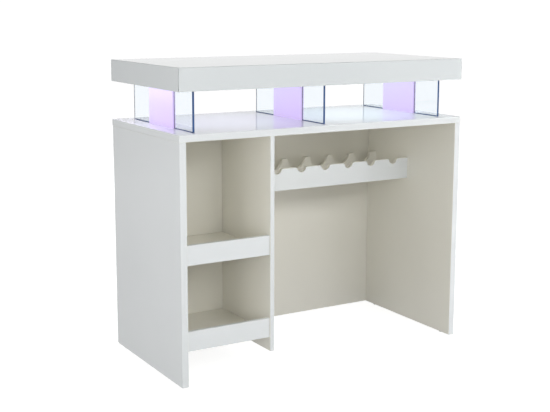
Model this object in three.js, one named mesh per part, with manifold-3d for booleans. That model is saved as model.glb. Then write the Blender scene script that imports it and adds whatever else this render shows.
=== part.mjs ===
// Bar counter with shelves: a hollow bar top on three lit glass supports, above a counter whose carcass
// holds a shelf bay on the left and a knee space with a bottle rack on the right.
// Millimetres, +Z up. X runs along the counter, -Y faces the server, and the origin is on the floor,
// under the middle of the counter.

import * as THREE from 'three';
import { mergeVertices } from 'three/addons/utils/BufferGeometryUtils.js';
import Module from 'manifold-3d';

const wasm = await Module();
wasm.setup();

// Overall sizes
const LENGTH = 1200;
const DEPTH = 580;
const COUNTER_HEIGHT = 878;
const SUPPORT_GAP = 142;
const BAR_TOP_THICKNESS = 80;

// Carcass boards
const COUNTER_BOARD = 25;
const SIDE_BOARD = 25;
const BACK_BOARD = 12;
const BACK_INSET = 2;
const DIVIDER_BOARD = 16;
const DIVIDER_CLEARANCE = 77;

// Bar top, a folded box: the outer skin boards are mitred into each other
const SKIN_BOARD = 25;
const CLOSING_BOARD = 16;
const RIB_BOARD = 25;
const RIB_GAP = 50;

// Shelf bay
const BAY_WIDTH = 324;
const BAY_DEPTH = 360;
const SHELF_BACK_BOARD = 16;
const SHELF_BOARD = 16;
const LOWER_SHELF_HEIGHT = 145;
const SHELF_SPACING = 302;
const SHELF_RAIL_BOARD = 16;
const SHELF_RAIL_HEIGHT = 70;
const SHELF_RAIL_SETBACK = 4;

// Bottle rack: bottles lie with their necks on the front rail and their bodies on the rear rail
const RACK_RAIL_BOARD = 16;
const RACK_RAIL_HEIGHT = 85;
const RACK_DROP = 171;
const RACK_REAR_GAP = 45;
const RACK_SPACING = 217;
const NECK_NOTCH_RADIUS = 20;
const BODY_NOTCH_RADIUS = 42;
const TOOTH_WIDTH = 26;
const NOTCH_SHOULDER = 6;
const NOTCH_SEGMENTS = 6;

// Supports: clear glass, light panel and clear glass in one plane, let into grooves above and below
const SUPPORT_END_INSET = 75;
const SUPPORT_EDGE_INSET = 45;
const GLASS_THICKNESS = 8;
const LIGHT_PANEL_THICKNESS = 16;
const LIGHT_PANEL_WIDTH = 200;
const PANE_GAP = 1;
const GROOVE_DEPTH = 8;
const CLEAT_WIDTH = 18;

// LED light above each light panel
const CHANNEL_WIDTH = 30;
const CHANNEL_HEIGHT = 10;
const CHANNEL_WALL = 2;
const STRIP_WIDTH = 12;
const STRIP_THICKNESS = 1.6;
const STRIP_END_INSET = 5;
const TAIL_WIDTH = 8;
const CHIP_SIZE = 5;
const CHIP_HEIGHT = 1.4;
const CHIP_PITCH = 25;

// LED controller on the back panel, behind the shelf bay, and the lead from it to the strips
const CONTROLLER_WIDTH = 70;
const CONTROLLER_HEIGHT = 120;
const CONTROLLER_DEPTH = 22;
const CONTROLLER_CORNER = 6;
const CORNER_SEGMENTS = 2;
const CONTROLLER_INSET = 15;
const CONTROLLER_DROP = 130;
const INLET_FLANGE_RADIUS = 6;
const INLET_FLANGE_HEIGHT = 1.5;
const INLET_BARREL_RADIUS = 4.5;
const INLET_BARREL_LENGTH = 11;
const INLET_BORE_RADIUS = 2.75;
const INLET_BORE_DEPTH = 9;
const INLET_PIN_RADIUS = 1;
const INLET_PIN_INSET = 1;
const LEAD_DIAMETER = 6;
const LEAD_BEND = 10;
const LEAD_SOCKET_DEPTH = 8;
const LEAD_STRAIGHT = 30;
const LEAD_SIDES = 8;
const LEAD_STEPS = 80;

// Tie bolts from below the counter into the light panels
const BOLT_SPACING = 110;
const BOLT_RADIUS = 3;
const BOLT_LENGTH = 32;
const BOLT_HEAD_RADIUS = 6;
const BOLT_HEAD_HEIGHT = 4;
const BOLT_SOCKET_RADIUS = 2.5;
const BOLT_SOCKET_DEPTH = 2.4;
const BOLT_RECESS = 5;

// Dowels between the counter and the upright boards, and glides under the sides
const DOWEL_RADIUS = 4;
const DOWEL_LENGTH = 30;
const DOWEL_IN_COUNTER = 12;
const DOWEL_END_INSET = 90;
const GLIDE_RADIUS = 10;
const GLIDE_HEIGHT = 3;
const GLIDE_CHAMFER = 1;
const GLIDE_STEM_RADIUS = 3;
const GLIDE_STEM_LENGTH = 14;
const GLIDE_END_INSET = 60;

// Clearance of each piece in its hole or groove, how far a cut runs past a face, and sides of round pieces
const FIT = 0.3;
const OVERCUT = 1;
const ROUND_SIDES = 16;

// Faces that follow from the sizes above
const right = LENGTH / 2;
const left = -right;
const rear = DEPTH / 2;
const front = -rear;
const counterUnder = COUNTER_HEIGHT - COUNTER_BOARD;
const grooveFloor = COUNTER_HEIGHT - GROOVE_DEPTH;
const barUnder = COUNTER_HEIGHT + SUPPORT_GAP;
const barUpper = barUnder + BAR_TOP_THICKNESS;
const barFloor = barUnder + CLOSING_BOARD;
const barCeiling = barUpper - SKIN_BOARD;
const barInsideX = [left + SKIN_BOARD, right - SKIN_BOARD];
const barInsideY = [front + SKIN_BOARD, rear - SKIN_BOARD];
const cleatTop = barCeiling - CHANNEL_HEIGHT;
const backFace = rear - BACK_BOARD;
const bayLeft = left + SIDE_BOARD;
const bayRight = bayLeft + BAY_WIDTH;
const kneeLeft = bayRight + DIVIDER_BOARD;
const kneeRight = right - SIDE_BOARD;
const leftMiddle = left + SIDE_BOARD / 2;
const rightMiddle = right - SIDE_BOARD / 2;
const dividerMiddle = bayRight + DIVIDER_BOARD / 2;
const shelfBackFront = front + BAY_DEPTH;
const shelfBackRear = shelfBackFront + SHELF_BACK_BOARD;
const panelHalf = LIGHT_PANEL_WIDTH / 2;
const supportHalf = DEPTH / 2 - SUPPORT_EDGE_INSET;
const supports = [
  { name: 'left', x: left + SUPPORT_END_INSET },
  { name: 'middle', x: 0 },
  { name: 'right', x: right - SUPPORT_END_INSET },
];

// The lead lies in a groove under the counter, climbs in the left light panel's rear edge and runs along
// the floor of the bar top
const leadRadius = LEAD_DIAMETER / 2;
const leadX = supports[0].x;
const leadY = panelHalf - leadRadius - FIT;
const leadUnderZ = counterUnder + leadRadius + FIT;
const leadRunY = leadY + 2 * LEAD_BEND + LEAD_DIAMETER;
const leadRunZ = barFloor + leadRadius + FIT;
const controllerX = bayLeft + CONTROLLER_INSET + CONTROLLER_WIDTH / 2;
const controllerFront = backFace - CONTROLLER_DEPTH;
const controllerY = backFace - CONTROLLER_DEPTH / 2;
const controllerTop = counterUnder - CONTROLLER_DROP;
const controllerBottom = controllerTop - CONTROLLER_HEIGHT;

const barCounter = new THREE.Group();

function addPiece(parent, name, geometry, material) {
  const mesh = new THREE.Mesh(geometry, material);
  mesh.name = name;
  parent.add(mesh);
}

// Finishes, one new material for each piece
function glossLacquer() {
  return new THREE.MeshStandardMaterial({ color: 0xf1f3f3, roughness: 0.12, metalness: 0 });
}

function whiteMelamine() {
  return new THREE.MeshStandardMaterial({ color: 0xece9e2, roughness: 0.35, metalness: 0 });
}

function clearGlass() {
  return new THREE.MeshStandardMaterial({
    color: 0xdcebf0, roughness: 0.03, metalness: 0, transparent: true, opacity: 0.3,
  });
}

function litOpal() {
  return new THREE.MeshStandardMaterial({
    color: 0xe8d3ff, emissive: 0x8a70b0, roughness: 0.3, metalness: 0,
  });
}

function rawWood() {
  return new THREE.MeshStandardMaterial({ color: 0xc9ad82, roughness: 0.7, metalness: 0 });
}

function bareAluminium() {
  return new THREE.MeshStandardMaterial({ color: 0xb9bdc1, roughness: 0.4, metalness: 1 });
}

function platedSteel() {
  return new THREE.MeshStandardMaterial({ color: 0xa8abad, roughness: 0.3, metalness: 1 });
}

function whitePlastic() {
  return new THREE.MeshStandardMaterial({ color: 0xe6e6e2, roughness: 0.5, metalness: 0 });
}

function blackPlastic() {
  return new THREE.MeshStandardMaterial({ color: 0x1d1e20, roughness: 0.5, metalness: 0 });
}

// A block with six flat sides: place gives each corner's position from its sides, -1 or 1 along X, Y and Z
function block(place) {
  const geometry = new THREE.BoxGeometry(2, 2, 2);
  const corner = geometry.attributes.position;
  for (let i = 0; i < corner.count; i += 1) {
    corner.setXYZ(i, ...place(corner.getX(i), corner.getY(i), corner.getZ(i)));
  }
  geometry.computeVertexNormals();
  return geometry;
}

// A rectangular board between two limits on each axis
function board(x, y, z) {
  return block((sideX, sideY, sideZ) => [
    sideX < 0 ? x[0] : x[1],
    sideY < 0 ? y[0] : y[1],
    sideZ < 0 ? z[0] : z[1],
  ]);
}

// Limits that lie the same distance either side of a middle
function around(middle, half) {
  return [middle - half, middle + half];
}

// An upright round rod between two heights
function rod(x, y, z, radius) {
  const geometry = new THREE.CylinderGeometry(radius, radius, z[1] - z[0], ROUND_SIDES);
  geometry.rotateX(Math.PI / 2);
  return geometry.translate(x, y, (z[0] + z[1]) / 2);
}

// An upright turned piece, from radius and height pairs that start and end on its axis
function turned(profile) {
  const outline = profile.map(([radius, height]) => new THREE.Vector2(radius, height));
  return new THREE.LatheGeometry(outline, ROUND_SIDES).rotateX(Math.PI / 2);
}

// An outline drawn in X and Z, given a thickness along Y from its front face
function slab(outline, frontFace, thickness, segments) {
  const geometry = new THREE.ExtrudeGeometry(outline, {
    depth: thickness, bevelEnabled: false, curveSegments: segments,
  });
  geometry.rotateX(Math.PI / 2);
  return geometry.translate(0, frontFace + thickness, 0);
}

function toSolid(geometry) {
  const bare = geometry.clone();
  bare.deleteAttribute('normal');
  bare.deleteAttribute('uv');
  const merged = mergeVertices(bare);
  return new wasm.Manifold(new wasm.Mesh({
    numProp: 3,
    vertProperties: new Float32Array(merged.attributes.position.array),
    triVerts: new Uint32Array(merged.index.array),
  }));
}

function toGeometry(solid) {
  const mesh = solid.getMesh();
  const geometry = new THREE.BufferGeometry();
  geometry.setAttribute('position', new THREE.BufferAttribute(mesh.vertProperties, mesh.numProp));
  geometry.setIndex(new THREE.BufferAttribute(mesh.triVerts, 1));
  geometry.computeVertexNormals();
  return geometry;
}

function cut(body, tools) {
  let solid = toSolid(body);
  for (const tool of tools) solid = solid.subtract(toSolid(tool));
  return toGeometry(solid);
}

function join(bodies) {
  let solid = toSolid(bodies[0]);
  for (const body of bodies.slice(1)) solid = solid.add(toSolid(body));
  return toGeometry(solid);
}

// Bar top: the top board, its four edges mitred underneath
function barTopBoard() {
  return block((sideX, sideY, sideZ) => (
    sideZ > 0
      ? [sideX * right, sideY * rear, barUpper]
      : [sideX * (right - SKIN_BOARD), sideY * (rear - SKIN_BOARD), barCeiling]
  ));
}

// A fascia drawn along X with its outer face at -Y, mitred at both ends and along its top, then turned
// into place
function fascia(length, outerFace, turn) {
  const innerFace = outerFace - SKIN_BOARD;
  const innerEnd = length / 2 - SKIN_BOARD;
  const drawn = block((sideX, sideY, sideZ) => (
    sideY < 0
      ? [sideX * length / 2, -outerFace, sideZ < 0 ? barUnder : barUpper]
      : [sideX * innerEnd, -innerFace, sideZ < 0 ? barUnder : barCeiling]
  ));
  return drawn.rotateZ(turn);
}

// Groove for the glass of one support, and the wider pocket for its light panel
function glassGroove(x, z) {
  return board(around(x, GLASS_THICKNESS / 2 + FIT), around(0, supportHalf + FIT), z);
}

function panelPocket(x, z) {
  return board(around(x, LIGHT_PANEL_THICKNESS / 2 + FIT), around(0, panelHalf + FIT), z);
}

// The board that closes the bar top below: it is grooved for the glass, slotted for the light panels and
// notched where the lead comes up
function closingBoard() {
  const through = [barUnder - OVERCUT, barFloor + OVERCUT];
  const leadNotch = [leadY, leadY + 2 * LEAD_BEND + leadRadius];
  const tools = [board(around(leadX, leadRadius + FIT), leadNotch, through)];
  for (const { x } of supports) {
    tools.push(glassGroove(x, [barUnder - OVERCUT, barUnder + GROOVE_DEPTH]));
    tools.push(panelPocket(x, through));
  }
  return cut(board(barInsideX, barInsideY, [barUnder, barFloor]), tools);
}

function buildBarTop() {
  addPiece(barCounter, 'bar_top_board', barTopBoard(), glossLacquer());
  addPiece(barCounter, 'bar_top_front_fascia', fascia(LENGTH, rear, 0), glossLacquer());
  addPiece(barCounter, 'bar_top_right_fascia', fascia(DEPTH, right, Math.PI / 2), glossLacquer());
  addPiece(barCounter, 'bar_top_rear_fascia', fascia(LENGTH, rear, Math.PI), glossLacquer());
  addPiece(barCounter, 'bar_top_left_fascia', fascia(DEPTH, right, -Math.PI / 2), glossLacquer());
  addPiece(barCounter, 'bar_top_closing_board', closingBoard(), glossLacquer());
  const ribInner = panelHalf + RIB_GAP;
  const ribOuter = ribInner + RIB_BOARD;
  const ribZ = [barFloor, barCeiling];
  addPiece(barCounter, 'bar_top_front_rib', board(barInsideX, [-ribOuter, -ribInner], ribZ), rawWood());
  addPiece(barCounter, 'bar_top_rear_rib', board(barInsideX, [ribInner, ribOuter], ribZ), rawWood());
}

// Light panel: bolt holes in its lower edge, and a groove for the lead in its rear edge
function lightPanel() {
  const boltTop = counterUnder + BOLT_RECESS + BOLT_LENGTH;
  const leadGrooveY = [leadY - leadRadius - FIT, panelHalf + OVERCUT];
  const through = [grooveFloor - OVERCUT, cleatTop + OVERCUT];
  const tools = [board(around(0, leadRadius + FIT), leadGrooveY, through)];
  for (const y of around(0, BOLT_SPACING / 2)) {
    tools.push(rod(0, y, [grooveFloor - OVERCUT, boltTop + FIT], BOLT_RADIUS + FIT));
  }
  const panelX = around(0, LIGHT_PANEL_THICKNESS / 2);
  return cut(board(panelX, around(0, panelHalf), [grooveFloor, cleatTop]), tools);
}

function glassPane(side) {
  const inner = panelHalf + PANE_GAP;
  const limits = side < 0 ? [-supportHalf, -inner] : [inner, supportHalf];
  return board(around(0, GLASS_THICKNESS / 2), limits, [grooveFloor, barUnder + GROOVE_DEPTH]);
}

function cleat(side) {
  const inner = side * LIGHT_PANEL_THICKNESS / 2;
  const outer = inner + side * CLEAT_WIDTH;
  return board([Math.min(inner, outer), Math.max(inner, outer)], around(0, panelHalf), [barFloor, cleatTop]);
}

// Aluminium channel, open below, standing on the two cleats
function ledChannel() {
  const outer = CHANNEL_WIDTH / 2;
  const inner = outer - CHANNEL_WALL;
  const outline = new THREE.Shape();
  outline.moveTo(-outer, cleatTop);
  outline.lineTo(-inner, cleatTop);
  outline.lineTo(-inner, barCeiling - CHANNEL_WALL);
  outline.lineTo(inner, barCeiling - CHANNEL_WALL);
  outline.lineTo(inner, cleatTop);
  outline.lineTo(outer, cleatTop);
  outline.lineTo(outer, barCeiling);
  outline.lineTo(-outer, barCeiling);
  outline.closePath();
  return slab(outline, -panelHalf, LIGHT_PANEL_WIDTH, CORNER_SEGMENTS);
}

// LED strip under the channel's web: chips in a row, and a tail that reaches down to the lead
function ledStrip() {
  const webUnder = barCeiling - CHANNEL_WALL;
  const stripUnder = webUnder - STRIP_THICKNESS;
  const stripEnd = panelHalf - STRIP_END_INSET;
  const tailEnd = leadRunY + STRIP_THICKNESS / 2;
  const tailX = around(0, TAIL_WIDTH / 2);
  const bodies = [
    board(around(0, STRIP_WIDTH / 2), around(0, stripEnd), [stripUnder, webUnder]),
    board(tailX, [stripEnd - STRIP_WIDTH, tailEnd], [stripUnder, webUnder]),
    board(tailX, [tailEnd - STRIP_THICKNESS, tailEnd], [leadRunZ + leadRadius + FIT, webUnder]),
  ];
  const chips = Math.floor(2 * stripEnd / CHIP_PITCH);
  const chipX = around(0, CHIP_SIZE / 2);
  for (let i = 0; i < chips; i += 1) {
    const chipY = around((i - (chips - 1) / 2) * CHIP_PITCH, CHIP_SIZE / 2);
    bodies.push(board(chipX, chipY, [stripUnder - CHIP_HEIGHT, webUnder]));
  }
  return join(bodies);
}

// Tie bolt: a socket head in a recess under the counter, its shank up in the light panel
function tieBolt() {
  const headTop = counterUnder + BOLT_RECESS;
  const headUnder = headTop - BOLT_HEAD_HEIGHT;
  return turned([
    [0, headUnder + BOLT_SOCKET_DEPTH],
    [BOLT_SOCKET_RADIUS, headUnder + BOLT_SOCKET_DEPTH],
    [BOLT_SOCKET_RADIUS, headUnder],
    [BOLT_HEAD_RADIUS, headUnder],
    [BOLT_HEAD_RADIUS, headTop],
    [BOLT_RADIUS, headTop],
    [BOLT_RADIUS, headTop + BOLT_LENGTH],
    [0, headTop + BOLT_LENGTH],
  ]);
}

function buildSupport({ name, x }) {
  const support = new THREE.Group();
  support.position.x = x;
  barCounter.add(support);
  addPiece(support, `${name}_light_panel`, lightPanel(), litOpal());
  addPiece(support, `${name}_front_glass`, glassPane(-1), clearGlass());
  addPiece(support, `${name}_rear_glass`, glassPane(1), clearGlass());
  addPiece(support, `${name}_light_left_cleat`, cleat(-1), rawWood());
  addPiece(support, `${name}_light_right_cleat`, cleat(1), rawWood());
  addPiece(support, `${name}_led_channel`, ledChannel(), bareAluminium());
  addPiece(support, `${name}_led_strip`, ledStrip(), whitePlastic());
  addPiece(support, `${name}_front_tie_bolt`, tieBolt().translate(0, -BOLT_SPACING / 2, 0), platedSteel());
  addPiece(support, `${name}_rear_tie_bolt`, tieBolt().translate(0, BOLT_SPACING / 2, 0), platedSteel());
}

// Dowels stand in the middle of each upright board's top edge, near its front and its back
const dowelBoards = [
  { name: 'left', x: leftMiddle },
  { name: 'divider', x: dividerMiddle },
  { name: 'right', x: rightMiddle },
];
const dowelEnds = [
  { name: 'front', y: front + DOWEL_END_INSET },
  { name: 'rear', y: backFace - DOWEL_END_INSET },
];
const dowelTop = counterUnder + DOWEL_IN_COUNTER;
const dowelBottom = dowelTop - DOWEL_LENGTH;

function dowelHoles(x) {
  return dowelEnds.map(({ y }) => rod(x, y, [dowelBottom - FIT, dowelTop + FIT], DOWEL_RADIUS + FIT));
}

function buildDowels() {
  for (const upright of dowelBoards) {
    for (const end of dowelEnds) {
      const dowel = rod(upright.x, end.y, [dowelBottom, dowelTop], DOWEL_RADIUS);
      addPiece(barCounter, `counter_dowel_${upright.name}_${end.name}`, dowel, rawWood());
    }
  }
}

// Counter top: grooved for the supports above, and drilled from below for tie bolts, the lead and dowels
function counterTop() {
  const tools = dowelBoards.flatMap(({ x }) => dowelHoles(x));
  for (const { x } of supports) {
    const grooveZ = [grooveFloor, COUNTER_HEIGHT + OVERCUT];
    tools.push(glassGroove(x, grooveZ));
    tools.push(panelPocket(x, grooveZ));
    for (const y of around(0, BOLT_SPACING / 2)) {
      tools.push(rod(x, y, [counterUnder - OVERCUT, COUNTER_HEIGHT], BOLT_RADIUS + FIT));
      tools.push(rod(x, y, [counterUnder - OVERCUT, counterUnder + BOLT_RECESS], BOLT_HEAD_RADIUS + FIT));
    }
  }
  const leadSlotX = around(leadX, leadRadius + FIT);
  const leadSlotY = [leadY - leadRadius - FIT, leadY + 2 * LEAD_BEND + leadRadius];
  const leadGrooveY = [leadY, controllerY + leadRadius + FIT];
  tools.push(board(leadSlotX, leadSlotY, [counterUnder - OVERCUT, COUNTER_HEIGHT]));
  tools.push(board(leadSlotX, leadGrooveY, [counterUnder - OVERCUT, leadUnderZ + leadRadius + FIT]));
  return cut(board([left, right], [front, rear], [counterUnder, COUNTER_HEIGHT]), tools);
}

// Side panel: dowel holes in its top edge, glide holes in its bottom edge
const glideEnds = [
  { name: 'front', y: front + GLIDE_END_INSET },
  { name: 'rear', y: backFace - GLIDE_END_INSET },
];

function sidePanel(x) {
  const middle = (x[0] + x[1]) / 2;
  const tools = dowelHoles(middle);
  const stemTop = GLIDE_HEIGHT + GLIDE_STEM_LENGTH;
  for (const { y } of glideEnds) {
    tools.push(rod(middle, y, [GLIDE_HEIGHT - OVERCUT, stemTop + FIT], GLIDE_STEM_RADIUS + FIT));
  }
  return cut(board(x, [front, backFace], [GLIDE_HEIGHT, counterUnder]), tools);
}

function glide() {
  return turned([
    [0, 0],
    [GLIDE_RADIUS - GLIDE_CHAMFER, 0],
    [GLIDE_RADIUS, GLIDE_CHAMFER],
    [GLIDE_RADIUS, GLIDE_HEIGHT],
    [GLIDE_STEM_RADIUS, GLIDE_HEIGHT],
    [GLIDE_STEM_RADIUS, GLIDE_HEIGHT + GLIDE_STEM_LENGTH],
    [0, GLIDE_HEIGHT + GLIDE_STEM_LENGTH],
  ]);
}

// Divider: hung from the counter, clear of the floor
function dividerPanel() {
  const body = board([bayRight, kneeLeft], [front, backFace], [DIVIDER_CLEARANCE, counterUnder]);
  return cut(body, dowelHoles(dividerMiddle));
}

// Back panel: planted on the rear edges of the side panels, under the counter
function backPanel() {
  return board([left + BACK_INSET, right - BACK_INSET], [backFace, rear], [GLIDE_HEIGHT, counterUnder]);
}

function buildCarcass() {
  addPiece(barCounter, 'counter_top', counterTop(), glossLacquer());
  addPiece(barCounter, 'left_side_panel', sidePanel([left, bayLeft]), glossLacquer());
  addPiece(barCounter, 'right_side_panel', sidePanel([kneeRight, right]), glossLacquer());
  addPiece(barCounter, 'divider_panel', dividerPanel(), glossLacquer());
  addPiece(barCounter, 'back_panel', backPanel(), glossLacquer());
}

function buildGlides() {
  for (const side of [{ name: 'left', x: leftMiddle }, { name: 'right', x: rightMiddle }]) {
    for (const end of glideEnds) {
      const piece = glide().translate(side.x, end.y, 0);
      addPiece(barCounter, `glide_${side.name}_${end.name}`, piece, blackPlastic());
    }
  }
}

// Shelf bay: a back of its own, and two shelves, each behind a front rail that stands up above it
function buildShelfBay() {
  const bayX = [bayLeft, bayRight];
  const shelfBack = board(bayX, [shelfBackFront, shelfBackRear], [DIVIDER_CLEARANCE, counterUnder]);
  addPiece(barCounter, 'shelf_back_panel', shelfBack, whiteMelamine());
  const railFront = front + SHELF_RAIL_SETBACK;
  const railRear = railFront + SHELF_RAIL_BOARD;
  const shelves = [
    { name: 'lower', top: LOWER_SHELF_HEIGHT },
    { name: 'upper', top: LOWER_SHELF_HEIGHT + SHELF_SPACING },
  ];
  for (const { name, top } of shelves) {
    const under = top - SHELF_BOARD;
    const shelf = board(bayX, [railRear, shelfBackFront], [under, top]);
    const rail = board(bayX, [railFront, railRear], [under, under + SHELF_RAIL_HEIGHT]);
    addPiece(barCounter, `${name}_shelf`, shelf, whiteMelamine());
    addPiece(barCounter, `${name}_shelf_rail`, rail, glossLacquer());
  }
}

// Bottle rack rail: half-round notches along its upper edge, with rounded shoulders
function rackRail(frontFace, radius) {
  const top = counterUnder - RACK_DROP;
  const under = top - RACK_RAIL_HEIGHT;
  const pitch = 2 * BODY_NOTCH_RADIUS + TOOTH_WIDTH;
  const bottles = Math.floor((kneeRight - kneeLeft - TOOTH_WIDTH) / pitch);
  const middle = (kneeLeft + kneeRight) / 2;
  const shoulderOffset = Math.sqrt(radius * radius + 2 * radius * NOTCH_SHOULDER);
  const shoulderZ = top - NOTCH_SHOULDER;
  const turn = Math.atan2(NOTCH_SHOULDER, shoulderOffset);
  const outline = new THREE.Shape();
  outline.moveTo(kneeLeft, under);
  outline.lineTo(kneeLeft, top);
  for (let i = 0; i < bottles; i += 1) {
    const x = middle + (i - (bottles - 1) / 2) * pitch;
    outline.absarc(x - shoulderOffset, shoulderZ, NOTCH_SHOULDER, Math.PI / 2, turn, true);
    outline.absarc(x, top, radius, Math.PI + turn, -turn, false);
    outline.absarc(x + shoulderOffset, shoulderZ, NOTCH_SHOULDER, Math.PI - turn, Math.PI / 2, true);
  }
  outline.lineTo(kneeRight, top);
  outline.lineTo(kneeRight, under);
  outline.closePath();
  return slab(outline, frontFace, RACK_RAIL_BOARD, NOTCH_SEGMENTS);
}

function buildBottleRack() {
  const rearRailFront = backFace - RACK_REAR_GAP - RACK_RAIL_BOARD;
  const frontRailFront = rearRailFront - RACK_SPACING;
  const neckRail = rackRail(frontRailFront, NECK_NOTCH_RADIUS);
  const bodyRail = rackRail(rearRailFront, BODY_NOTCH_RADIUS);
  addPiece(barCounter, 'bottle_rack_front_rail', neckRail, glossLacquer());
  addPiece(barCounter, 'bottle_rack_rear_rail', bodyRail, glossLacquer());
}

// LED controller: a case with rounded corners, seated for the power inlet below and for the lead on top
function controllerCase() {
  const x = around(controllerX, CONTROLLER_WIDTH / 2);
  const corner = CONTROLLER_CORNER;
  const outline = new THREE.Shape();
  outline.absarc(x[0] + corner, controllerBottom + corner, corner, Math.PI, 1.5 * Math.PI, false);
  outline.absarc(x[1] - corner, controllerBottom + corner, corner, 1.5 * Math.PI, 2 * Math.PI, false);
  outline.absarc(x[1] - corner, controllerTop - corner, corner, 0, Math.PI / 2, false);
  outline.absarc(x[0] + corner, controllerTop - corner, corner, Math.PI / 2, Math.PI, false);
  outline.closePath();
  const inletSeat = [controllerBottom - OVERCUT, controllerBottom + INLET_BARREL_LENGTH + FIT];
  const leadSocket = [controllerTop - LEAD_SOCKET_DEPTH, controllerTop + OVERCUT];
  return cut(slab(outline, controllerFront, CONTROLLER_DEPTH, CORNER_SEGMENTS), [
    rod(controllerX, controllerY, inletSeat, INLET_BARREL_RADIUS + FIT),
    rod(controllerX, controllerY, leadSocket, leadRadius + FIT),
  ]);
}

// Low-voltage socket: a flange under the case, a barrel inside it, and a contact pin in its bore
function powerInlet() {
  const flangeUnder = controllerBottom - INLET_FLANGE_HEIGHT;
  const boreTop = flangeUnder + INLET_BORE_DEPTH;
  const inlet = turned([
    [0, flangeUnder + INLET_PIN_INSET],
    [INLET_PIN_RADIUS, flangeUnder + INLET_PIN_INSET],
    [INLET_PIN_RADIUS, boreTop],
    [INLET_BORE_RADIUS, boreTop],
    [INLET_BORE_RADIUS, flangeUnder],
    [INLET_FLANGE_RADIUS, flangeUnder],
    [INLET_FLANGE_RADIUS, controllerBottom],
    [INLET_BARREL_RADIUS, controllerBottom],
    [INLET_BARREL_RADIUS, controllerBottom + INLET_BARREL_LENGTH],
    [0, controllerBottom + INLET_BARREL_LENGTH],
  ]);
  return inlet.translate(controllerX, controllerY, 0);
}

// A path through corners, with every inner corner rounded off
function roundedPath(corners, bend) {
  const path = new THREE.CurvePath();
  let from = corners[0];
  for (let i = 1; i < corners.length - 1; i += 1) {
    const corner = corners[i];
    const enter = corner.clone().add(corners[i - 1].clone().sub(corner).setLength(bend));
    const leave = corner.clone().add(corners[i + 1].clone().sub(corner).setLength(bend));
    path.add(new THREE.LineCurve3(from, enter));
    path.add(new THREE.QuadraticBezierCurve3(enter, corner, leave));
    from = leave;
  }
  path.add(new THREE.LineCurve3(from, corners[corners.length - 1]));
  return path;
}

// Lead: up from the controller, along under the counter, up the left light panel and along the bar top
function ledLead() {
  const path = roundedPath([
    new THREE.Vector3(controllerX, controllerY, controllerTop - LEAD_SOCKET_DEPTH + FIT),
    new THREE.Vector3(controllerX, controllerY, controllerTop + LEAD_STRAIGHT),
    new THREE.Vector3(leadX, controllerY, counterUnder - LEAD_STRAIGHT),
    new THREE.Vector3(leadX, controllerY, leadUnderZ),
    new THREE.Vector3(leadX, leadY, leadUnderZ),
    new THREE.Vector3(leadX, leadY, leadRunZ),
    new THREE.Vector3(leadX, leadRunY, leadRunZ),
    new THREE.Vector3(supports[2].x + TAIL_WIDTH / 2, leadRunY, leadRunZ),
  ], LEAD_BEND);
  const section = new THREE.Shape();
  section.absarc(0, 0, leadRadius, 0, 2 * Math.PI, false);
  return new THREE.ExtrudeGeometry(section, {
    steps: LEAD_STEPS, bevelEnabled: false, extrudePath: path, curveSegments: LEAD_SIDES / 2,
  });
}

function buildLighting() {
  addPiece(barCounter, 'led_controller', controllerCase(), whitePlastic());
  addPiece(barCounter, 'power_inlet', powerInlet(), blackPlastic());
  addPiece(barCounter, 'led_lead', ledLead(), whitePlastic());
}

buildCarcass();
buildGlides();
buildDowels();
buildShelfBay();
buildBottleRack();
for (const support of supports) buildSupport(support);
buildBarTop();
buildLighting();

export default barCounter;
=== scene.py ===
import math

import bmesh
import bpy
from mathutils import Matrix, Vector


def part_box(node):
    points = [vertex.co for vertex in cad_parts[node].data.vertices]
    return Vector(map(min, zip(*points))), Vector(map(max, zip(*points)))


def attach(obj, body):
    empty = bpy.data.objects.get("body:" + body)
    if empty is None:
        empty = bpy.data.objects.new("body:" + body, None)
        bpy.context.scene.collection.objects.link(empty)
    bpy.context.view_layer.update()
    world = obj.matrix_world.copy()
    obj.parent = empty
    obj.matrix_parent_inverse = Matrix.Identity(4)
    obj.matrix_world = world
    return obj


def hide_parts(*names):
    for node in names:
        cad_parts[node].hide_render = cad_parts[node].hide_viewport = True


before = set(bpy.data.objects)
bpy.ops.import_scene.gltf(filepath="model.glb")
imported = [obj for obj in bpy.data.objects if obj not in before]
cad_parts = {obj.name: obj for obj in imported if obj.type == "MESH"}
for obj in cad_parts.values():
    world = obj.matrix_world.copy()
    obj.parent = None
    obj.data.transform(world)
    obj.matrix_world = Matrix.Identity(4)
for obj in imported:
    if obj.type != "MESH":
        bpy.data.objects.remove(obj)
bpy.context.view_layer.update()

# Floor glides
# Four discs of moulded black nylon under the side panels, each on a stem pressed into the board.
# They keep the lacquered edges off a wet floor.
MM = 0.001


def linear(hex_colour):
    """Turns an sRGB hex colour into linear red, green and blue, with full alpha."""
    channels = [int(hex_colour[i:i + 2], 16) / 255 for i in (1, 3, 5)]
    return [c / 12.92 if c <= 0.04045 else ((c + 0.055) / 1.055) ** 2.4 for c in channels] + [1.0]


def add_node(material, kind, values=None, links=None, **settings):
    """Adds a node with its settings and socket values, and links other nodes, or their sockets, into it."""
    node = material.node_tree.nodes.new(kind)
    for name, value in settings.items():
        setattr(node, name, value)
    sockets = {socket.name: socket for socket in reversed(node.inputs) if socket.enabled}
    for name, value in (values or {}).items():
        sockets[name].default_value = value
    for name, source in (links or {}).items():
        if isinstance(source, bpy.types.Node):
            source = next(socket for socket in source.outputs if socket.enabled)
        material.node_tree.links.new(source, sockets[name])
    return node


def new_material(name):
    """Returns a material with no nodes yet, and the object's own coordinates to draw patterns on."""
    material = bpy.data.materials.new(name)
    material.use_nodes = True
    material.node_tree.nodes.clear()
    return material, add_node(material, "ShaderNodeTexCoord").outputs["Object"]


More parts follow.
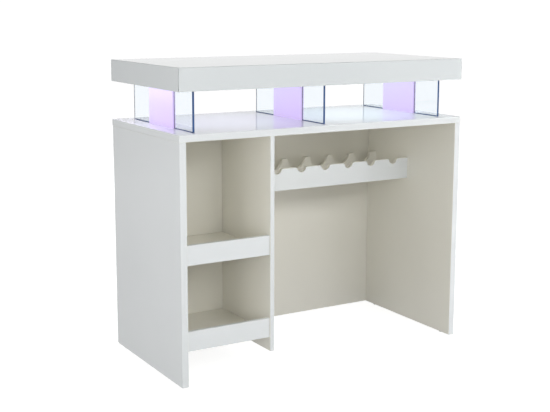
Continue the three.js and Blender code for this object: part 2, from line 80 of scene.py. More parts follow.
def moulded_plastic(name, dark, light, shine, ior):
    """Plastic from a spark-eroded mould: one colour all through, finely pitted and unevenly dull."""
    material, place = new_material(name)
    pit_size = 0.8 * MM
    scuff_size = 11 * MM
    pits = add_node(material, "ShaderNodeTexNoise", {"Scale": 1 / pit_size, "Detail": 2.0},
                    {"Vector": place})
    scuffs = add_node(material, "ShaderNodeTexNoise", {"Scale": 1 / scuff_size}, {"Vector": place})
    tone = add_node(material, "ShaderNodeMix", {"A": linear(dark), "B": linear(light)},
                    {"Factor": scuffs}, data_type="RGBA")
    gloss = add_node(material, "ShaderNodeMapRange", {"To Min": shine[0], "To Max": shine[1]},
                     {"Value": scuffs})
    skin = add_node(material, "ShaderNodeBump", {"Strength": 0.5, "Distance": 0.05 * MM}, {"Height": pits})
    surface = add_node(material, "ShaderNodeBsdfPrincipled", {"IOR": ior},
                       {"Base Color": tone, "Roughness": gloss, "Normal": skin})
    add_node(material, "ShaderNodeOutputMaterial", links={"Surface": surface})
    return material


def coat_nodes(material, *names):
    """Finishes pieces whose built shape is already right."""
    for name in names:
        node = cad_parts[name]
        node.data.materials.clear()
        node.data.materials.append(material)


black_nylon = moulded_plastic("black_nylon_moulded", "#121214", "#242427", shine=(0.38, 0.6), ior=1.53)
coat_nodes(black_nylon, "glide_left_front", "glide_left_rear", "glide_right_front", "glide_right_rear")

# Side panels
# Two upright 25 mm fibreboards that carry the counter. Their outer faces and edges are sprayed with white
# high-gloss lacquer and the faces towards the shelves and the knees are satin melamine.


def high_gloss_lacquer(name, dark, light):
    """Sprayed and polished polyurethane lacquer: mirror-like, with a faint orange-peel ripple."""
    material, place = new_material(name)
    cloud_size = 420 * MM
    wipe_size = 95 * MM
    ripple_size = 9 * MM  # coarser than real orange peel, so that the render shows it
    clouds = add_node(material, "ShaderNodeTexNoise", {"Scale": 1 / cloud_size, "Detail": 3.0},
                      {"Vector": place})
    wipes = add_node(material, "ShaderNodeTexNoise", {"Scale": 1 / wipe_size, "Detail": 4.0},
                     {"Vector": place})
    ripples = add_node(material, "ShaderNodeTexNoise", {"Scale": 1 / ripple_size, "Detail": 1.0},
                       {"Vector": place})
    tone = add_node(material, "ShaderNodeMix", {"A": linear(dark), "B": linear(light)},
                    {"Factor": clouds}, data_type="RGBA")
    gloss = add_node(material, "ShaderNodeMapRange", {"To Min": 0.05, "To Max": 0.09}, {"Value": wipes})
    peel = add_node(material, "ShaderNodeBump", {"Strength": 0.4, "Distance": 0.015 * MM},
                    {"Height": ripples})
    surface = add_node(material, "ShaderNodeBsdfPrincipled", {"IOR": 1.5},
                       {"Base Color": tone, "Roughness": gloss, "Normal": peel})
    add_node(material, "ShaderNodeOutputMaterial", links={"Surface": surface})
    return material


def satin_melamine():
    """Melamine-faced board: warm white printed paper under resin, pressed to a fine pebbled satin."""
    material, place = new_material("warm_white_melamine")
    cloud_size = 300 * MM
    fibre_size = 6 * MM
    pebble_size = 0.9 * MM
    clouds = add_node(material, "ShaderNodeTexNoise", {"Scale": 1 / cloud_size, "Detail": 3.0},
                      {"Vector": place})
    fibres = add_node(material, "ShaderNodeTexNoise", {"Scale": 1 / fibre_size, "Detail": 3.0},
                      {"Vector": place})
    pebbles = add_node(material, "ShaderNodeTexNoise", {"Scale": 1 / pebble_size, "Detail": 1.0},
                       {"Vector": place})
    tone = add_node(material, "ShaderNodeMix", {"A": linear("#E5E3D9"), "B": linear("#ECEAE1")},
                    {"Factor": clouds}, data_type="RGBA")
    gloss = add_node(material, "ShaderNodeMapRange", {"To Min": 0.26, "To Max": 0.44}, {"Value": fibres})
    skin = add_node(material, "ShaderNodeBump", {"Strength": 0.4, "Distance": 0.03 * MM},
                    {"Height": pebbles})
    surface = add_node(material, "ShaderNodeBsdfPrincipled", {"IOR": 1.5},
                       {"Base Color": tone, "Roughness": gloss, "Normal": skin})
    add_node(material, "ShaderNodeOutputMaterial", links={"Surface": surface})
    return material


def drawn_board(lowest, highest):
    """A rectangular board between two corners, with sharp edges."""
    shape = bmesh.new()
    bmesh.ops.create_cube(shape, size=1.0)
    bmesh.ops.scale(shape, vec=highest - lowest, verts=shape.verts)
    bmesh.ops.translate(shape, vec=(lowest + highest) / 2, verts=shape.verts)
    return shape


def ease_edges(shape, edges, radius):
    """Rounds edges as sandpaper does."""
    bmesh.ops.bevel(shape, geom=edges, offset=radius, segments=3, profile=0.5, affect="EDGES", material=-1)


FACING = 0.6  # cosine of the widest angle at which a face still looks towards a side


def set_piece(name, shape, nodes, finishes, second_sides=(), second_below=-1.0):
    """Makes a piece of the drawn shape, in place of the nodes it stands for.
    Faces towards the second sides, or below a height, take the second finish."""
    for face in shape.faces:
        face.smooth = True
        second = any(face.normal.dot(side) > FACING for side in second_sides)
        face.material_index = int(second or face.calc_center_median().z < second_below)
    mesh = bpy.data.meshes.new(name)
    shape.to_mesh(mesh)
    shape.free()
    for finish in finishes:
        mesh.materials.append(finish)
    piece = bpy.data.objects.new(name, mesh)
    bpy.context.scene.collection.objects.link(piece)
    flat_faces = piece.modifiers.new("flat_faces", "WEIGHTED_NORMAL")
    flat_faces.keep_sharp = True
    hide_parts(*nodes)
    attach(piece, "root")


TO_LEFT = Vector((-1, 0, 0))
TO_RIGHT = Vector((1, 0, 0))
TO_SERVER = Vector((0, -1, 0))
TO_GUEST = Vector((0, 1, 0))
UP = Vector((0, 0, 1))
DOWN = Vector((0, 0, -1))

lacquer = high_gloss_lacquer("white_high_gloss_lacquer", "#DADEDF", "#E1E4E5")
melamine = satin_melamine()
for side, inward in (("left", TO_RIGHT), ("right", TO_LEFT)):
    panel = drawn_board(*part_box(f"{side}_side_panel"))
    ease_edges(panel, panel.edges[:], radius=1.5 * MM)
    set_piece(f"{side}_side", panel, [f"{side}_side_panel"], [lacquer, melamine],
              second_sides=[inward])

# Back panel
# A 12 mm fibreboard planted on the side panels' rear edges, lacquered towards the guests and satin towards
# the server. It stiffens the carcass.
panel = drawn_board(*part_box("back_panel"))
ease_edges(panel, panel.edges[:], radius=0.8 * MM)
set_piece("back", panel, ["back_panel"], [lacquer, melamine], second_sides=[TO_SERVER])

# Divider
# A 16 mm melamine board between the shelf bay and the knee space, with a lacquered front edge.
# It hangs from the counter and ends above the floor.
panel = drawn_board(*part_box("divider_panel"))
ease_edges(panel, panel.edges[:], radius=0.9 * MM)
set_piece("divider", panel, ["divider_panel"], [lacquer, melamine],
          second_sides=[TO_LEFT, TO_RIGHT])

# Shelf bay
# A back board and two shelves of 16 mm melamine between the left side panel and the divider. Each shelf has
# a lacquered rail along its front edge that keeps glasses and bottles on it. The back board is cut a little
# narrow, which leaves a dark hairline at its sides.
SHADOW_GAP = 0.8 * MM
for name, node, gap in (("shelf_back", "shelf_back_panel", SHADOW_GAP), ("shelf_lower", "lower_shelf", 0),
                        ("shelf_upper", "upper_shelf", 0)):
    lowest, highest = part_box(node)
    panel = drawn_board(lowest + TO_RIGHT * gap, highest + TO_LEFT * gap)
    ease_edges(panel, panel.edges[:], radius=0.5 * MM)
    set_piece(name, panel, [node], [melamine])
for name in ("lower", "upper"):
    rail = drawn_board(*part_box(f"{name}_shelf_rail"))
    ease_edges(rail, rail.edges[:], radius=1.2 * MM)
    set_piece(f"rail_{name}", rail, [f"{name}_shelf_rail"], [lacquer, melamine],
              second_sides=[TO_GUEST])

# Bottle rack
# Two 16 mm rails across the knee space. Round notches in their upper edges cradle lying bottles: small ones
# in the front rail for the necks, large ones in the rear rail for the bodies. Only the front rail's face
# is lacquered, and the rest is melamine.
NOTCH_PITCH = 110 * MM
NOTCH_COUNT = 7
SHOULDER_RADIUS = 6 * MM
ARC_STEPS = 20
ARRIS_ANGLE = math.radians(40)


def notched_rail(lowest, highest, notch_radius):
    """A rail drawn along its upper edge, notch by notch, then closed below and given its thickness."""
    front, top = lowest.y, highest.z
    middle = (lowest.x + highest.x) / 2
    shoulder_z = top - SHOULDER_RADIUS
    shoulder_x = math.sqrt(notch_radius ** 2 + 2 * notch_radius * SHOULDER_RADIUS)
    turn = math.atan2(SHOULDER_RADIUS, shoulder_x)
    shape = bmesh.new()
    tip = shape.verts.new((lowest.x, front, top))
    for i in range(NOTCH_COUNT):
        x = middle + (i - (NOTCH_COUNT - 1) / 2) * NOTCH_PITCH
        arcs = ((x - shoulder_x, shoulder_z, math.pi / 2 - turn), (x, top, 2 * turn - math.pi),
                (x + shoulder_x, shoulder_z, math.pi / 2 - turn))
        start = shape.verts.new((x - shoulder_x, front, top))
        shape.edges.new((tip, start))
        tip = start
        for centre_x, centre_z, angle in arcs:
            made = bmesh.ops.spin(shape, geom=[tip], cent=(centre_x, front, centre_z), axis=(0, 1, 0),
                                  angle=angle, steps=ARC_STEPS)
            tip = next(part for part in made["geom_last"] if isinstance(part, bmesh.types.BMVert))
    corners = [shape.verts.new((x, front, z)) for x, z in
               ((highest.x, top), (highest.x, lowest.z), (lowest.x, lowest.z))]
    for corner in corners:
        shape.edges.new((tip, corner))
        tip = corner
    shape.verts.ensure_lookup_table()
    shape.edges.new((tip, shape.verts[0]))
    outline = bmesh.ops.contextual_create(shape, geom=shape.edges[:])
    made = bmesh.ops.extrude_face_region(shape, geom=outline["faces"])
    moved = [part for part in made["geom"] if isinstance(part, bmesh.types.BMVert)]
    bmesh.ops.translate(shape, vec=(0, highest.y - front, 0), verts=moved)
    bmesh.ops.recalc_face_normals(shape, faces=shape.faces)
    return shape


hidden_sides = [TO_GUEST, TO_LEFT, TO_RIGHT, UP, DOWN]
for name, node, notch_radius, satin_sides in (
        ("rack_front", "bottle_rack_front_rail", 20 * MM, hidden_sides),
        ("rack_rear", "bottle_rack_rear_rail", 42 * MM, hidden_sides + [TO_SERVER])):
    lowest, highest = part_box(node)
    rail = notched_rail(lowest, highest, notch_radius)
    arrises = [edge for edge in rail.edges if abs(edge.calc_face_angle(0)) > ARRIS_ANGLE]
    ease_edges(rail, arrises, radius=1.2 * MM)
    set_piece(name, rail, [node], [lacquer, melamine], second_sides=satin_sides)

# Counter dowels
# Six fluted beech dowels, glued half in the counter and half in the upright boards. Beech is pale and
# close-grained, with short dark flecks along the grain.


def planed_wood(name, early, late, fleck, ring_size, grain):
    """Planed, unfinished wood with rings and flecks drawn out along its grain, which runs on one axis."""
    material, place = new_material(name)
    fleck_size = 1.6 * MM
    grain_stretch = 14
    stretched = add_node(material, "ShaderNodeMapping",
                         {"Scale": [1 / grain_stretch if axis == grain else 1.0 for axis in "XYZ"]},
                         {"Vector": place})
    rings = add_node(material, "ShaderNodeTexNoise",
                     {"Scale": 1 / ring_size, "Detail": 3.0, "Distortion": 1.2}, {"Vector": stretched})
    flecks = add_node(material, "ShaderNodeTexNoise", {"Scale": 1 / fleck_size, "Detail": 4.0},
                      {"Vector": stretched})
    bands = add_node(material, "ShaderNodeMix", {"A": linear(early), "B": linear(late)},
                     {"Factor": rings}, data_type="RGBA")
    dark = add_node(material, "ShaderNodeMapRange",
                    {"From Min": 0.55, "From Max": 0.75, "To Max": 0.7}, {"Value": flecks})
    tone = add_node(material, "ShaderNodeMix", {"B": linear(fleck)}, {"Factor": dark, "A": bands},
                    data_type="RGBA")
    gloss = add_node(material, "ShaderNodeMapRange", {"To Min": 0.5, "To Max": 0.72}, {"Value": flecks})
    skin = add_node(material, "ShaderNodeBump", {"Strength": 0.5, "Distance": 0.08 * MM},
                    {"Height": flecks})
    surface = add_node(material, "ShaderNodeBsdfPrincipled", {"IOR": 1.45},
                       {"Base Color": tone, "Roughness": gloss, "Normal": skin})
    add_node(material, "ShaderNodeOutputMaterial", links={"Surface": surface})
    return material


beech = planed_wood("beech_dowel", "#D9BB90", "#C7A173", "#8F6A43", ring_size=3 * MM, grain="Z")
for place in ("left", "divider", "right"):
    coat_nodes(beech, f"counter_dowel_{place}_front", f"counter_dowel_{place}_rear")

# Counter
# One 25 mm lacquered board laid on the upright boards. Grooves for the glass and pockets for the light
# panels are routed in its upper face, and its outer edges are rounded before spraying.
TOLERANCE = 0.01 * MM


def routed_board(node):
    """A copy of a routed board with its flat triangles joined into whole faces."""
    shape = bmesh.new()
    shape.from_mesh(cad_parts[node].data)
    bmesh.ops.remove_doubles(shape, verts=shape.verts, dist=TOLERANCE)
    bmesh.ops.dissolve_limit(shape, angle_limit=math.radians(1), verts=shape.verts, edges=shape.edges)
    return shape


def outer_edges(shape, lowest, highest):
    """The twelve outer edges of a board, which lie on two sides of its box at once."""
    def sides(vert):
        return {(axis, end) for end, corner in enumerate((lowest, highest)) for axis in range(3)
                if abs(vert.co[axis] - corner[axis]) < TOLERANCE}
    return [edge for edge in shape.edges if len(sides(edge.verts[0]) & sides(edge.verts[1])) > 1]


counter = routed_board("counter_top")
ease_edges(counter, outer_edges(counter, *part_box("counter_top")), radius=1.5 * MM)
set_piece("counter", counter, ["counter_top"], [lacquer, melamine], second_sides=[DOWN])

# Light panels
# Three 16 mm plates of opal acrylic between the glass panes. They are lit through their upper edge, so they
# are whitest at the top and to the rear, and turn lavender towards the counter.
SUPPORTS = ("left", "middle", "right")


def lit_opal_acrylic(lowest, highest):
    """Cast opal acrylic: milky and satin, glowing from the light scattered inside it."""
    material, place = new_material("opal_acrylic_lit")
    glow_slant = math.radians(20)
    haze_size = 200 * MM
    pebble_size = 1.2 * MM
    slanted = add_node(material, "ShaderNodeMapping", {"Rotation": (glow_slant, 0, 0)}, {"Vector": place})
    height = add_node(material, "ShaderNodeSeparateXYZ", links={"Vector": slanted}).outputs["Z"]
    turned = Matrix.Rotation(glow_slant, 3, "X")
    rise = add_node(material, "ShaderNodeMapRange",
                    {"From Min": (turned @ lowest).z, "From Max": (turned @ highest).z},
                    {"Value": height}, interpolation_type="SMOOTHSTEP")
    haze = add_node(material, "ShaderNodeTexNoise", {"Scale": 1 / haze_size, "Detail": 2.0},
                    {"Vector": place})
    pebbles = add_node(material, "ShaderNodeTexNoise", {"Scale": 1 / pebble_size}, {"Vector": place})
    glow = add_node(material, "ShaderNodeMix", {"A": linear("#DAC1F7"), "B": linear("#E2DAFB")},
                    {"Factor": rise}, data_type="RGBA")
    tone = add_node(material, "ShaderNodeMix", {"A": linear("#8A83A2"), "B": linear("#908AA8")},
                    {"Factor": haze}, data_type="RGBA")
    gloss = add_node(material, "ShaderNodeMapRange", {"To Min": 0.26, "To Max": 0.3}, {"Value": haze})
    skin = add_node(material, "ShaderNodeBump", {"Strength": 0.15, "Distance": 0.02 * MM},
                    {"Height": pebbles})
    surface = add_node(material, "ShaderNodeBsdfPrincipled", {"IOR": 1.49, "Emission Strength": 0.66},
                       {"Base Color": tone, "Emission Color": glow, "Roughness": gloss, "Normal": skin})
    add_node(material, "ShaderNodeOutputMaterial", links={"Surface": surface})
    return material


opal = lit_opal_acrylic(*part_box("left_light_panel"))
for place in SUPPORTS:
    plate = routed_board(f"{place}_light_panel")
    ease_edges(plate, outer_edges(plate, *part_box(f"{place}_light_panel")), radius=0.6 * MM)
    set_piece(f"light_{place}", plate, [f"{place}_light_panel"], [opal])

# Glass panes
# Six panes of 8 mm float glass that stand in the grooves in front of and behind the light panels and carry
# the bar top. Their arrises are ground and polished, and the edges look dark blue end on. A dark band along
# each pane's foot is painted shade of the groove's gap.


def float_glass():
    """Clear float glass: faintly blue through the face, with faint wiping marks."""
    material, place = new_material("float_glass_clear")
    smear_size = 40 * MM
    smears = add_node(material, "ShaderNodeTexNoise", {"Scale": 1 / smear_size, "Detail": 3.0},
                      {"Vector": place})
    gloss = add_node(material, "ShaderNodeMapRange", {"To Min": 0.0, "To Max": 0.03}, {"Value": smears})
    tone = add_node(material, "ShaderNodeMix", {"A": linear("#EAF1F7"), "B": linear("#F2F7FB")},
                    {"Factor": smears}, data_type="RGBA")
    surface = add_node(material, "ShaderNodeBsdfPrincipled", {"IOR": 1.52, "Transmission Weight": 1.0},
                       {"Base Color": tone, "Roughness": gloss})
    add_node(material, "ShaderNodeOutputMaterial", links={"Surface": surface})
    return material


def glass_edge_and_painted_foot_shade():
    """The edge of float glass: light has come a long way through the iron in it, so it is dark and blue.
    Along each pane's foot it is painted shade of the groove's gap.
    """
    material, place = new_material("float_glass_edge_and_painted_foot_shade")
    streak_size = 25 * MM
    streaks = add_node(material, "ShaderNodeTexNoise", {"Scale": 1 / streak_size, "Detail": 2.0},
                       {"Vector": place})
    tone = add_node(material, "ShaderNodeMix", {"A": linear("#1B3C70"), "B": linear("#2A5488")},
                    {"Factor": streaks}, data_type="RGBA")
    gloss = add_node(material, "ShaderNodeMapRange", {"To Min": 0.08, "To Max": 0.2}, {"Value": streaks})
    surface = add_node(material, "ShaderNodeBsdfPrincipled", {"IOR": 1.52},
                       {"Base Color": tone, "Roughness": gloss})
    add_node(material, "ShaderNodeOutputMaterial", links={"Surface": surface})
    return material


clear_glass = float_glass()
edge_and_painted_foot_shade = glass_edge_and_painted_foot_shade()
# The lowest 2 mm of each pane above the counter take the dark edge finish: painted shade of the gap in the
# groove.
PAINTED_SHADE_HEIGHT = 2 * MM
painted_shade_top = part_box("counter_top")[1] + UP * PAINTED_SHADE_HEIGHT
for place in SUPPORTS:
    for end in ("front", "rear"):
        node = f"{place}_{end}_glass"
        pane = drawn_board(*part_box(node))
        ease_edges(pane, pane.edges[:], radius=0.7 * MM)
        bmesh.ops.bisect_plane(pane, geom=pane.verts[:] + pane.edges[:] + pane.faces[:],
                               plane_co=painted_shade_top, plane_no=UP)
        set_piece(f"glass_{place}_{end}", pane, [node], [clear_glass, edge_and_painted_foot_shade],
                  second_sides=[TO_SERVER, TO_GUEST], second_below=painted_shade_top.z)

# Tie bolts
# Six zinc-plated socket screws from below the counter into the light panels, which tie the supports down.
# Blue passivation leaves the zinc bright and slightly uneven.


def zinc_plated_steel():
    """Blue-passivated zinc plating: a bright metal with a clouded, faintly blue bloom."""
    material, place = new_material("zinc_plated_steel")
    bloom_size = 6 * MM
    scratch_size = 0.5 * MM
    bloom = add_node(material, "ShaderNodeTexNoise", {"Scale": 1 / bloom_size, "Detail": 3.0},
                     {"Vector": place})
    scratches = add_node(material, "ShaderNodeTexNoise", {"Scale": 1 / scratch_size, "Detail": 2.0},
                         {"Vector": place})
    tone = add_node(material, "ShaderNodeMix", {"A": linear("#B9BEC4"), "B": linear("#CFCFC6")},
                    {"Factor": bloom}, data_type="RGBA")
    gloss = add_node(material, "ShaderNodeMapRange", {"To Min": 0.2, "To Max": 0.42}, {"Value": bloom})
    skin = add_node(material, "ShaderNodeBump", {"Strength": 0.3, "Distance": 0.02 * MM},
                    {"Height": scratches})
    surface = add_node(material, "ShaderNodeBsdfPrincipled", {"Metallic": 1.0},
                       {"Base Color": tone, "Roughness": gloss, "Normal": skin})
    add_node(material, "ShaderNodeOutputMaterial", links={"Surface": surface})
    return material


zinc = zinc_plated_steel()
for place in SUPPORTS:
    coat_nodes(zinc, f"{place}_front_tie_bolt", f"{place}_rear_tie_bolt")

# Bar top frame
# Inside the hollow bar top: a closing board below, grooved for the glass and lacquered a shade greyer than
# the carcass as painted shade, two spruce ribs along its length and a pair of spruce cleats over each light
# panel.
# The bar top's lacquer is the carcass's white painted a shade greyer: painted shade, for the darker look of
# its faces.
slab_lacquer_painted_shade = high_gloss_lacquer("white_high_gloss_lacquer_painted_shade", "#CFD4D5", "#D6DADB")
closing = routed_board("bar_top_closing_board")
ease_edges(closing, outer_edges(closing, *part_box("bar_top_closing_board")), radius=0.5 * MM)
set_piece("bar_top_closing", closing, ["bar_top_closing_board"], [slab_lacquer_painted_shade])
SPRUCE = ("#E3CCA0", "#CFAE78", "#A57F4E")
spruce_rib = planed_wood("spruce_rib", *SPRUCE, ring_size=9 * MM, grain="X")
coat_nodes(spruce_rib, "bar_top_front_rib", "bar_top_rear_rib")
spruce_cleat = planed_wood("spruce_cleat", *SPRUCE, ring_size=9 * MM, grain="Y")
for place in SUPPORTS:
    coat_nodes(spruce_cleat, f"{place}_light_left_cleat", f"{place}_light_right_cleat")

# Light sources
# Over each light panel an extruded aluminium channel holds a strip of light-emitting diodes, face down.
# The strip is a white printed circuit with a row of small emitters.


def extruded_aluminium():
    """Bare extruded aluminium: soft grey metal with fine lines drawn along it by the die."""
    material, place = new_material("extruded_aluminium")
    line_size = 0.6 * MM
    line_length = 120
    drawn = add_node(material, "ShaderNodeMapping", {"Scale": [1.0, 1 / line_length, 1.0]},
                     {"Vector": place})
    lines = add_node(material, "ShaderNodeTexNoise", {"Scale": 1 / line_size, "Detail": 2.0},
                     {"Vector": drawn})
    tone = add_node(material, "ShaderNodeMix", {"A": linear("#B4B7BA"), "B": linear("#CBCDCF")},
                    {"Factor": lines}, data_type="RGBA")
    gloss = add_node(material, "ShaderNodeMapRange", {"To Min": 0.28, "To Max": 0.45}, {"Value": lines})
    skin = add_node(material, "ShaderNodeBump", {"Strength": 0.4, "Distance": 0.02 * MM}, {"Height": lines})
    surface = add_node(material, "ShaderNodeBsdfPrincipled", {"Metallic": 1.0},
                       {"Base Color": tone, "Roughness": gloss, "Normal": skin})
    add_node(material, "ShaderNodeOutputMaterial", links={"Surface": surface})
    return material


def led_circuit(emitter_top):
    """A flexible circuit under white solder mask, with phosphor-coated emitters that glow lavender."""
    material, place = new_material("white_led_circuit")
    weave_size = 1.5 * MM
    height = add_node(material, "ShaderNodeSeparateXYZ", links={"Vector": place}).outputs["Z"]
    weave = add_node(material, "ShaderNodeTexNoise", {"Scale": 1 / weave_size, "Detail": 2.0},
                     {"Vector": place})
    below = add_node(material, "ShaderNodeMapRange",
                     {"From Min": emitter_top, "From Max": emitter_top - 0.1 * MM}, {"Value": height})
    mask = add_node(material, "ShaderNodeMix", {"A": linear("#E9E9E4"), "B": linear("#F3F3EF")},
                    {"Factor": weave}, data_type="RGBA")
    tone = add_node(material, "ShaderNodeMix", {"B": linear("#E8D9A0")}, {"Factor": below, "A": mask},
                    data_type="RGBA")
    glow = add_node(material, "ShaderNodeMix", {"A": linear("#000000"), "B": linear("#E0D0FF")},
                    {"Factor": below}, data_type="RGBA")
    skin = add_node(material, "ShaderNodeBump", {"Strength": 0.3, "Distance": 0.03 * MM}, {"Height": weave})
    surface = add_node(material, "ShaderNodeBsdfPrincipled",
                       {"Roughness": 0.45, "Emission Strength": 4.0},
                       {"Base Color": tone, "Emission Color": glow, "Normal": skin})
    add_node(material, "ShaderNodeOutputMaterial", links={"Surface": surface})
    return material


aluminium = extruded_aluminium()
EMITTER_HEIGHT = 0.9 * MM
circuit = led_circuit(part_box("left_led_strip")[0].z + EMITTER_HEIGHT)
for place in SUPPORTS:
    coat_nodes(aluminium, f"{place}_led_channel")
    coat_nodes(circuit, f"{place}_led_strip")

# Bar top skin
# A 25 mm board and four 80 mm fascias, mitred all round so that the hollow top looks like one thick slab.
# The mitred edges are eased a little, which leaves a hairline along each joint.
SKIN = 25 * MM
JOINT = 0.8 * MM


def mitred_board(lowest, highest, mitre, away):
    """A board whose face on one side is smaller all round, by the mitre on each axis, lowest then highest.
    Each mitred end stops a little short, for the glue."""
    lowest = Vector(low + (JOINT if ends[0] else 0) for low, ends in zip(lowest, mitre))
    highest = Vector(high - (JOINT if ends[1] else 0) for high, ends in zip(highest, mitre))
    shape = drawn_board(lowest, highest)
    axis = max(range(3), key=lambda i: abs(away[i]))
    inner = lowest[axis] if away[axis] > 0 else highest[axis]
    for vert in shape.verts:
        if abs(vert.co[axis] - inner) < TOLERANCE:
            for other in range(3):
                if other != axis:
                    at_low_end = abs(vert.co[other] - lowest[other]) < TOLERANCE
                    vert.co[other] += mitre[other][0] if at_low_end else -mitre[other][1]
    return shape


BOTH_ENDS = (SKIN, SKIN)
TOP_END = (0, SKIN)
NO_END = (0, 0)
slab_skin = (
    ("bar_top_upper", "bar_top_board", (BOTH_ENDS, BOTH_ENDS, NO_END), UP),
    ("bar_top_front", "bar_top_front_fascia", (BOTH_ENDS, NO_END, TOP_END), TO_SERVER),
    ("bar_top_rear", "bar_top_rear_fascia", (BOTH_ENDS, NO_END, TOP_END), TO_GUEST),
    ("bar_top_left", "bar_top_left_fascia", (NO_END, BOTH_ENDS, TOP_END), TO_LEFT),
    ("bar_top_right", "bar_top_right_fascia", (NO_END, BOTH_ENDS, TOP_END), TO_RIGHT),
)
# The skin takes the greyer lacquer too, with its shade painted into the colour.
for name, node, mitre, away in slab_skin:
    skin = mitred_board(*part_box(node), mitre, away)
    ease_edges(skin, skin.edges[:], radius=0.4 * MM)
    set_piece(name, skin, [node], [slab_lacquer_painted_shade])

# Light controller
# A moulded white ABS case on the inner face of the back panel, with a black power socket in its lower end.
# A PVC-sheathed lead runs from it up the left light panel and along the bar top to the strips.
white_abs = moulded_plastic("white_abs_moulded", "#E4E4E0", "#EFEFEC", shine=(0.3, 0.48), ior=1.54)
coat_nodes(white_abs, "led_controller")
black_abs = moulded_plastic("black_abs_moulded", "#151517", "#262629", shine=(0.35, 0.55), ior=1.54)
coat_nodes(black_abs, "power_inlet")
pvc_sheath = moulded_plastic("white_pvc_sheath", "#DCDCD8", "#E8E8E4", shine=(0.4, 0.55), ior=1.54)
coat_nodes(pvc_sheath, "led_lead")

# Studio
# A floor of white backdrop paper that rises into walls, a pale surround and large soft lights. Small lights
# below the bar top throw the glow of the light panels on the counter.


def lit_paper():
    """White backdrop paper: matt and faintly mottled. It is lit more towards its edges, so that no seam
    shows, and its walls fade towards their top, so that the bar top doesn't mirror plain white."""
    material, place = new_material("white_backdrop_paper")
    pulp_size = 8 * MM
    pulp = add_node(material, "ShaderNodeTexNoise", {"Scale": 1 / pulp_size}, {"Vector": place})
    tone = add_node(material, "ShaderNodeMix", {"A": linear("#A0A0A0"), "B": linear("#A4A4A4")},
                    {"Factor": pulp}, data_type="RGBA")
    lights_fade, lights_end = 2.0, 5.0
    wall_white, wall_pale = 1.5, 3.0
    distance = add_node(material, "ShaderNodeVectorMath", links={"Vector": place}, operation="LENGTH")
    height = add_node(material, "ShaderNodeSeparateXYZ", links={"Vector": place}).outputs["Z"]
    spread = add_node(material, "ShaderNodeMapRange", {"From Min": lights_fade, "From Max": lights_end,
                                                       "To Min": 0.84, "To Max": 1.0}, {"Value": distance})
    glow = add_node(material, "ShaderNodeMapRange", {"From Min": wall_white, "From Max": wall_pale,
                                                     "To Max": 0.85}, {"Value": height, "To Min": spread})
    surface = add_node(material, "ShaderNodeBsdfPrincipled",
                       {"Roughness": 1.0, "Specular IOR Level": 0.0, "Emission Color": linear("#FFFFFF")},
                       {"Base Color": tone, "Emission Strength": glow})
    add_node(material, "ShaderNodeOutputMaterial", links={"Surface": surface})
    return material


STAGE_SIZE = 60.0
shape = bmesh.new()
bmesh.ops.create_grid(shape, x_segments=1, y_segments=1, size=STAGE_SIZE / 2)
walls = bmesh.ops.extrude_edge_only(shape, edges=shape.edges[:])
bmesh.ops.translate(shape, vec=UP * STAGE_SIZE / 2,
                    verts=[part for part in walls["geom"] if isinstance(part, bmesh.types.BMVert)])
mesh = bpy.data.meshes.new("stage")
shape.to_mesh(mesh)
shape.free()
mesh.materials.append(lit_paper())
stage = bpy.data.objects.new("stage", mesh)
# The surround below the floor stands for the light that the floor throws back.
stage.visible_diffuse = False
bpy.context.scene.collection.objects.link(stage)

LIGHT_BELOW, LIGHT_ABOVE = 0.25, 0.12
HORIZON = 0.2
world = bpy.data.worlds.new("pale_surround")
world.use_nodes = True
world.node_tree.nodes.clear()
direction = add_node(world, "ShaderNodeTexCoord").outputs["Generated"]
height = add_node(world, "ShaderNodeSeparateXYZ", links={"Vector": direction}).outputs["Z"]
strength = add_node(world, "ShaderNodeMapRange",
                    {"From Min": -HORIZON, "From Max": HORIZON,
                     "To Min": LIGHT_BELOW, "To Max": LIGHT_ABOVE}, {"Value": height})
background = add_node(world, "ShaderNodeBackground", {"Color": linear("#FFFFFF")}, {"Strength": strength})
add_node(world, "ShaderNodeOutputWorld", links={"Surface": background})
bpy.context.scene.world = world


def soft_light(name, place, aim, size, power, colour):
    """A soft box that faces a point, given its width and height."""
    light = bpy.data.lights.new(name, "AREA")
    light.shape = "RECTANGLE"
    light.size, light.size_y = size
    light.energy = power
    light.color = linear(colour)[:3]
    lamp = bpy.data.objects.new(name, light)
    lamp.location = place
    lamp.rotation_euler = (Vector(aim) - Vector(place)).to_track_quat("-Z", "Y").to_euler()
    lamp.visible_camera = False
    lamp.visible_glossy = False
    lamp.visible_transmission = False
    bpy.context.scene.collection.objects.link(lamp)


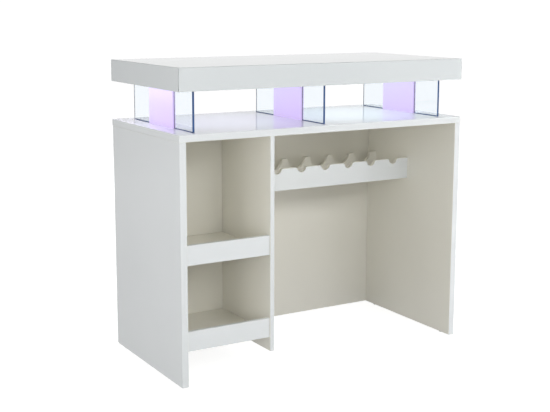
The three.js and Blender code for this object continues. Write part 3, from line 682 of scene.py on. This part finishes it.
MIDDLE = (0, 0, 0.5)
for name, place, size, watts in (
        ("right_front_box", (3.0, -3.5, 1.5), (3, 3), 37),
        ("right_low_light", (2.6, -1.5, 0.7), (0.8, 0.8), 22),
        ("right_front_low_light", (2.2, -2.2, 0.5), (0.8, 0.8), 8),
        ("left_box", (-4.0, -1.0, 1.5), (3, 3), 54),
        ("left_front_light", (-2.0, -4.0, 1.5), (2, 2), 42),
        ("left_low_light", (-2.4, -1.6, 0.6), (0.8, 0.8), 10),
        ("front_light", (1.0, -4.2, 2.6), (2, 1), 60),
        ("overhead_light", (0, 0, 4.5), (3, 3), 45),
        ("rear_light", (0, 4.0, 2.5), (3, 3), 130)):
    soft_light(name, place, MIDDLE, size, watts, "#FFFFFF")
GLOW_HEIGHT, GLOW_DEPTH = 1.015, 0.5
for name, x, width, watts, colour in (("left_end_glow", -0.568, 0.05, 0.3, "#E6DAFF"),
                                      ("left_glow", -0.2625, 0.48, 0.5, "#E4DEFF"),
                                      ("right_glow", 0.2625, 0.48, 0.76, "#E4F5FF"),
                                      ("right_end_glow", 0.568, 0.05, 0.29, "#E8F6FF")):
    soft_light(name, (x, 0, GLOW_HEIGHT), (x, 0, 0), (width, GLOW_DEPTH), watts, colour)

# Camera
# Stands to the server's left, a little below eye height and as far off as the photograph's perspective
# shows. A small shift gives the photograph's framing.
PICTURE_WIDTH = 550
FOCAL_LENGTH_PIXELS = 1051.2
SENSOR_WIDTH = 36.0
FRAME_SHIFT = -0.04
VIEWPOINT = (-2.084, -3.403, 1.312)
YAW, PITCH, ROLL = math.radians(30.74), math.radians(9.83), math.radians(0.13)
camera = bpy.data.cameras.new("camera")
camera.sensor_width = SENSOR_WIDTH
camera.lens = FOCAL_LENGTH_PIXELS / PICTURE_WIDTH * SENSOR_WIDTH
camera.shift_y = FRAME_SHIFT
viewer = bpy.data.objects.new("camera", camera)
viewer.matrix_world = (Matrix.Translation(VIEWPOINT) @ Matrix.Rotation(-YAW, 4, "Z")
                       @ Matrix.Rotation(math.pi / 2 - PITCH, 4, "X") @ Matrix.Rotation(ROLL, 4, "Z"))
bpy.context.scene.collection.objects.link(viewer)
bpy.context.scene.camera = viewer
bpy.context.scene.view_settings.view_transform = "Standard"
